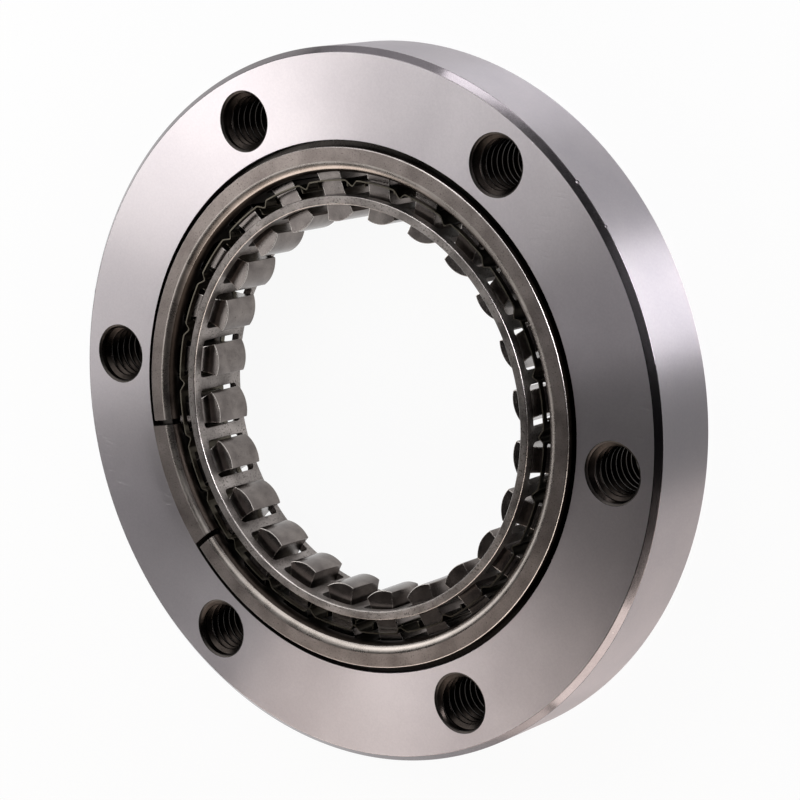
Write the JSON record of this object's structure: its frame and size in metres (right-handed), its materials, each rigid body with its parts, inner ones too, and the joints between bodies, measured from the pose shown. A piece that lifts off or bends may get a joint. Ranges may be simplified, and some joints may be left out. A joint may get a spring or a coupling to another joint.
{
  "type": "sprag clutch",
  "caption": "Sprag one-way clutch: flat steel outer race with a circle of threaded holes, holding a flanged cage insert with a ribbon spring and tilting sprags.",
  "frame": {"origin": "on the clutch axis, in the flat back face of the housing", "axes": "+Z along the clutch axis out of the recessed front face, where the insert's flange shows; +X through the middle of one threaded hole"},
  "size_m": [0.1, 0.1, 0.013],
  "materials": {
    "housing_steel": "turned and ground",
    "outer_cage_steel": "drawn and phosphated",
    "inner_cage_steel": "tumbled matte",
    "spring_steel": "rolled bright",
    "sprag_steel": "hardened, tumbled"
  },
  "bodies": {
    "housing": {"housing": "housing_steel"},
    "outer_cage": {"outer_cage": "outer_cage_steel", "ribbon_spring": "spring_steel"},
    "inner_cage": {"inner_cage": "inner_cage_steel"},
    "sprag_01": {"sprag_01": "sprag_steel"},
    "sprag_02": {"sprag_02": "sprag_steel"},
    "sprag_03": {"sprag_03": "sprag_steel"},
    "sprag_04": {"sprag_04": "sprag_steel"},
    "sprag_05": {"sprag_05": "sprag_steel"},
    "sprag_06": {"sprag_06": "sprag_steel"},
    "sprag_07": {"sprag_07": "sprag_steel"},
    "sprag_08": {"sprag_08": "sprag_steel"},
    "sprag_09": {"sprag_09": "sprag_steel"},
    "sprag_10": {"sprag_10": "sprag_steel"},
    "sprag_11": {"sprag_11": "sprag_steel"},
    "sprag_12": {"sprag_12": "sprag_steel"},
    "sprag_13": {"sprag_13": "sprag_steel"},
    "sprag_14": {"sprag_14": "sprag_steel"},
    "sprag_15": {"sprag_15": "sprag_steel"},
    "sprag_16": {"sprag_16": "sprag_steel"},
    "sprag_17": {"sprag_17": "sprag_steel"},
    "sprag_18": {"sprag_18": "sprag_steel"},
    "sprag_19": {"sprag_19": "sprag_steel"},
    "sprag_20": {"sprag_20": "sprag_steel"},
    "sprag_21": {"sprag_21": "sprag_steel"},
    "sprag_22": {"sprag_22": "sprag_steel"},
    "sprag_23": {"sprag_23": "sprag_steel"},
    "sprag_24": {"sprag_24": "sprag_steel"}
  },
  "joints": [
    {"name": "insert_spin", "type": "hinge", "parent": "housing", "child": "outer_cage", "pos_m": [0, 0, 0.013], "axis": [0, 0, 1], "continuous": true},
    {"name": "inner_cage_turn", "type": "hinge", "parent": "outer_cage", "child": "inner_cage", "pos_m": [0, 0, 0.0126], "axis": [0, 0, 1], "range_deg": [-1.2, 0], "stiffness_Nm_per_rad": 0.1, "springref_deg": 1.15},
    {"name": "sprag_01_tilt", "type": "hinge", "parent": "outer_cage", "child": "sprag_01", "pos_m": [0.03243, 0.00809, 0.0072], "axis": [0, 0, 1], "range_deg": [0, 8.1]},
    {"name": "sprag_02_tilt", "type": "hinge", "parent": "outer_cage", "child": "sprag_02", "pos_m": [0.02923, 0.01621, 0.0072], "axis": [0, 0, 1], "range_deg": [0, 8.1]},
    {"name": "sprag_03_tilt", "type": "hinge", "parent": "outer_cage", "child": "sprag_03", "pos_m": [0.02404, 0.02323, 0.0072], "axis": [0, 0, 1], "range_deg": [0, 8.1]},
    {"name": "sprag_04_tilt", "type": "hinge", "parent": "outer_cage", "child": "sprag_04", "pos_m": [0.01721, 0.02866, 0.0072], "axis": [0, 0, 1], "range_deg": [0, 8.1]},
    {"name": "sprag_05_tilt", "type": "hinge", "parent": "outer_cage", "child": "sprag_05", "pos_m": [0.00921, 0.03213, 0.0072], "axis": [0, 0, 1], "range_deg": [0, 8.1]},
    {"name": "sprag_06_tilt", "type": "hinge", "parent": "outer_cage", "child": "sprag_06", "pos_m": [0.00057, 0.03342, 0.0072], "axis": [0, 0, 1], "range_deg": [0, 8.1]},
    {"name": "sprag_07_tilt", "type": "hinge", "parent": "outer_cage", "child": "sprag_07", "pos_m": [-0.00809, 0.03243, 0.0072], "axis": [0, 0, 1], "range_deg": [0, 8.1]},
    {"name": "sprag_08_tilt", "type": "hinge", "parent": "outer_cage", "child": "sprag_08", "pos_m": [-0.01621, 0.02923, 0.0072], "axis": [0, 0, 1], "range_deg": [0, 8.1]},
    {"name": "sprag_09_tilt", "type": "hinge", "parent": "outer_cage", "child": "sprag_09", "pos_m": [-0.02323, 0.02404, 0.0072], "axis": [0, 0, 1], "range_deg": [0, 8.1]},
    {"name": "sprag_10_tilt", "type": "hinge", "parent": "outer_cage", "child": "sprag_10", "pos_m": [-0.02866, 0.01721, 0.0072], "axis": [0, 0, 1], "range_deg": [0, 8.1]},
    {"name": "sprag_11_tilt", "type": "hinge", "parent": "outer_cage", "child": "sprag_11", "pos_m": [-0.03213, 0.00921, 0.0072], "axis": [0, 0, 1], "range_deg": [0, 8.1]},
    {"name": "sprag_12_tilt", "type": "hinge", "parent": "outer_cage", "child": "sprag_12", "pos_m": [-0.03342, 0.00057, 0.0072], "axis": [0, 0, 1], "range_deg": [0, 8.1]},
    {"name": "sprag_13_tilt", "type": "hinge", "parent": "outer_cage", "child": "sprag_13", "pos_m": [-0.03243, -0.00809, 0.0072], "axis": [0, 0, 1], "range_deg": [0, 8.1]},
    {"name": "sprag_14_tilt", "type": "hinge", "parent": "outer_cage", "child": "sprag_14", "pos_m": [-0.02923, -0.01621, 0.0072], "axis": [0, 0, 1], "range_deg": [0, 8.1]},
    {"name": "sprag_15_tilt", "type": "hinge", "parent": "outer_cage", "child": "sprag_15", "pos_m": [-0.02404, -0.02323, 0.0072], "axis": [0, 0, 1], "range_deg": [0, 8.1]},
    {"name": "sprag_16_tilt", "type": "hinge", "parent": "outer_cage", "child": "sprag_16", "pos_m": [-0.01721, -0.02866, 0.0072], "axis": [0, 0, 1], "range_deg": [0, 8.1]},
    {"name": "sprag_17_tilt", "type": "hinge", "parent": "outer_cage", "child": "sprag_17", "pos_m": [-0.00921, -0.03213, 0.0072], "axis": [0, 0, 1], "range_deg": [0, 8.1]},
    {"name": "sprag_18_tilt", "type": "hinge", "parent": "outer_cage", "child": "sprag_18", "pos_m": [-0.00057, -0.03342, 0.0072], "axis": [0, 0, 1], "range_deg": [0, 8.1]},
    {"name": "sprag_19_tilt", "type": "hinge", "parent": "outer_cage", "child": "sprag_19", "pos_m": [0.00809, -0.03243, 0.0072], "axis": [0, 0, 1], "range_deg": [0, 8.1]},
    {"name": "sprag_20_tilt", "type": "hinge", "parent": "outer_cage", "child": "sprag_20", "pos_m": [0.01621, -0.02923, 0.0072], "axis": [0, 0, 1], "range_deg": [0, 8.1]},
    {"name": "sprag_21_tilt", "type": "hinge", "parent": "outer_cage", "child": "sprag_21", "pos_m": [0.02323, -0.02404, 0.0072], "axis": [0, 0, 1], "range_deg": [0, 8.1]},
    {"name": "sprag_22_tilt", "type": "hinge", "parent": "outer_cage", "child": "sprag_22", "pos_m": [0.02866, -0.01721, 0.0072], "axis": [0, 0, 1], "range_deg": [0, 8.1]},
    {"name": "sprag_23_tilt", "type": "hinge", "parent": "outer_cage", "child": "sprag_23", "pos_m": [0.03213, -0.00921, 0.0072], "axis": [0, 0, 1], "range_deg": [0, 8.1]},
    {"name": "sprag_24_tilt", "type": "hinge", "parent": "outer_cage", "child": "sprag_24", "pos_m": [0.03342, -0.00057, 0.0072], "axis": [0, 0, 1], "range_deg": [0, 8.1]}
  ],
  "couplings": [
    {"joint": "sprag_01_tilt", "follows": "inner_cage_turn", "ratio": -6.7225},
    {"joint": "sprag_02_tilt", "follows": "inner_cage_turn", "ratio": -6.7225},
    {"joint": "sprag_03_tilt", "follows": "inner_cage_turn", "ratio": -6.7225},
    {"joint": "sprag_04_tilt", "follows": "inner_cage_turn", "ratio": -6.7225},
    {"joint": "sprag_05_tilt", "follows": "inner_cage_turn", "ratio": -6.7225},
    {"joint": "sprag_06_tilt", "follows": "inner_cage_turn", "ratio": -6.7225},
    {"joint": "sprag_07_tilt", "follows": "inner_cage_turn", "ratio": -6.7225},
    {"joint": "sprag_08_tilt", "follows": "inner_cage_turn", "ratio": -6.7225},
    {"joint": "sprag_09_tilt", "follows": "inner_cage_turn", "ratio": -6.7225},
    {"joint": "sprag_10_tilt", "follows": "inner_cage_turn", "ratio": -6.7225},
    {"joint": "sprag_11_tilt", "follows": "inner_cage_turn", "ratio": -6.7225},
    {"joint": "sprag_12_tilt", "follows": "inner_cage_turn", "ratio": -6.7225},
    {"joint": "sprag_13_tilt", "follows": "inner_cage_turn", "ratio": -6.7225},
    {"joint": "sprag_14_tilt", "follows": "inner_cage_turn", "ratio": -6.7225},
    {"joint": "sprag_15_tilt", "follows": "inner_cage_turn", "ratio": -6.7225},
    {"joint": "sprag_16_tilt", "follows": "inner_cage_turn", "ratio": -6.7225},
    {"joint": "sprag_17_tilt", "follows": "inner_cage_turn", "ratio": -6.7225},
    {"joint": "sprag_18_tilt", "follows": "inner_cage_turn", "ratio": -6.7225},
    {"joint": "sprag_19_tilt", "follows": "inner_cage_turn", "ratio": -6.7225},
    {"joint": "sprag_20_tilt", "follows": "inner_cage_turn", "ratio": -6.7225},
    {"joint": "sprag_21_tilt", "follows": "inner_cage_turn", "ratio": -6.7225},
    {"joint": "sprag_22_tilt", "follows": "inner_cage_turn", "ratio": -6.7225},
    {"joint": "sprag_23_tilt", "follows": "inner_cage_turn", "ratio": -6.7225},
    {"joint": "sprag_24_tilt", "follows": "inner_cage_turn", "ratio": -6.7225}
  ]
}
